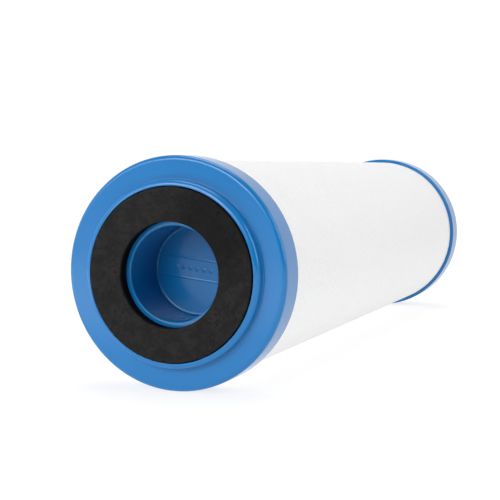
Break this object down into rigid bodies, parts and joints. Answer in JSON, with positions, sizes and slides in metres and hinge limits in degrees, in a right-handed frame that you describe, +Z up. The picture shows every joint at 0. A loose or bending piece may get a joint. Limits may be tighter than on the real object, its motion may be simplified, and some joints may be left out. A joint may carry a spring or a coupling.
{
  "type": "filter cartridge",
  "caption": "Cylindrical radial-flow water filter cartridge: white porous tube between blue moulded end caps with flat black gaskets, one end plugged and one open.",
  "frame": {"origin": "on the surface the cartridge lies on, under the middle of its length", "axes": "+Y along the cartridge's axis from the closed end to the open end, +Z up, +X to the right seen from the closed end"},
  "size_m": [0.0668, 0.2478, 0.0668],
  "materials": {
    "blue_polypropylene": "satin",
    "black_rubber": "matte",
    "porous_polyethylene": "matte",
    "white_polypropylene": "satin",
    "granular_carbon": "matte",
    "felt": "matte",
    "nonwoven_fabric": "matte",
    "hot_melt": "satin"
  },
  "bodies": {
    "root": {"closed_end_cap": "blue_polypropylene", "core_plug": "blue_polypropylene", "closed_end_gasket": "black_rubber", "closed_end_bond": "hot_melt", "outer_shell": "porous_polyethylene", "carbon_bed": "granular_carbon", "bed_expansion_pad": "felt", "post_filter_sleeve": "nonwoven_fabric", "inner_core": "white_polypropylene", "open_end_bond": "hot_melt", "open_end_gasket": "black_rubber", "open_end_cap": "blue_polypropylene"}
  },
  "joints": []
}
